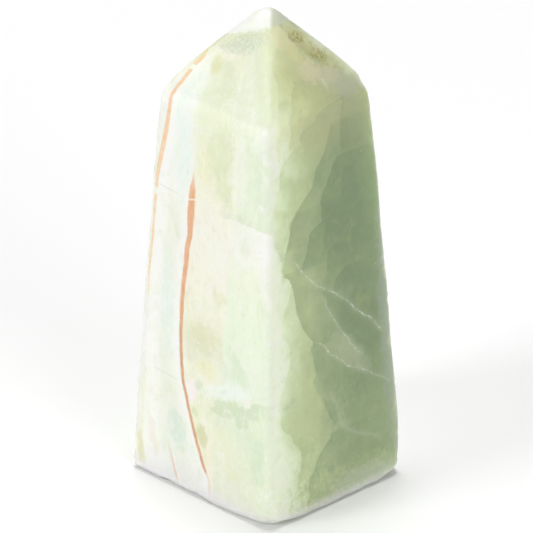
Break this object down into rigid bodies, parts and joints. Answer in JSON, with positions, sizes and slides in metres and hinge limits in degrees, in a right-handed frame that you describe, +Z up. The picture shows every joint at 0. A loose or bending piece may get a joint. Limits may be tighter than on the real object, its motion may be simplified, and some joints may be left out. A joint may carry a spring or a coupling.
{
  "type": "pistachio calcite tower",
  "caption": "Polished pale green calcite tower: a tapering square column with softly worn edges that ends in a blunt point and stands on a flat base, with rust-coloured veins.",
  "frame": {"origin": "middle of the flat base, at the level it stands on", "axes": "+Z up to the point; the sides face -Y, +X, +Y and -X, with the veined side at -Y"},
  "size_m": [0.0392, 0.0376, 0.0996],
  "materials": {
    "calcite": "polished, translucent, with rust-brown veins and white fractures, slightly frosted at the tip and the rim"
  },
  "bodies": {
    "root": {"calcite_tower": "calcite"}
  },
  "joints": []
}
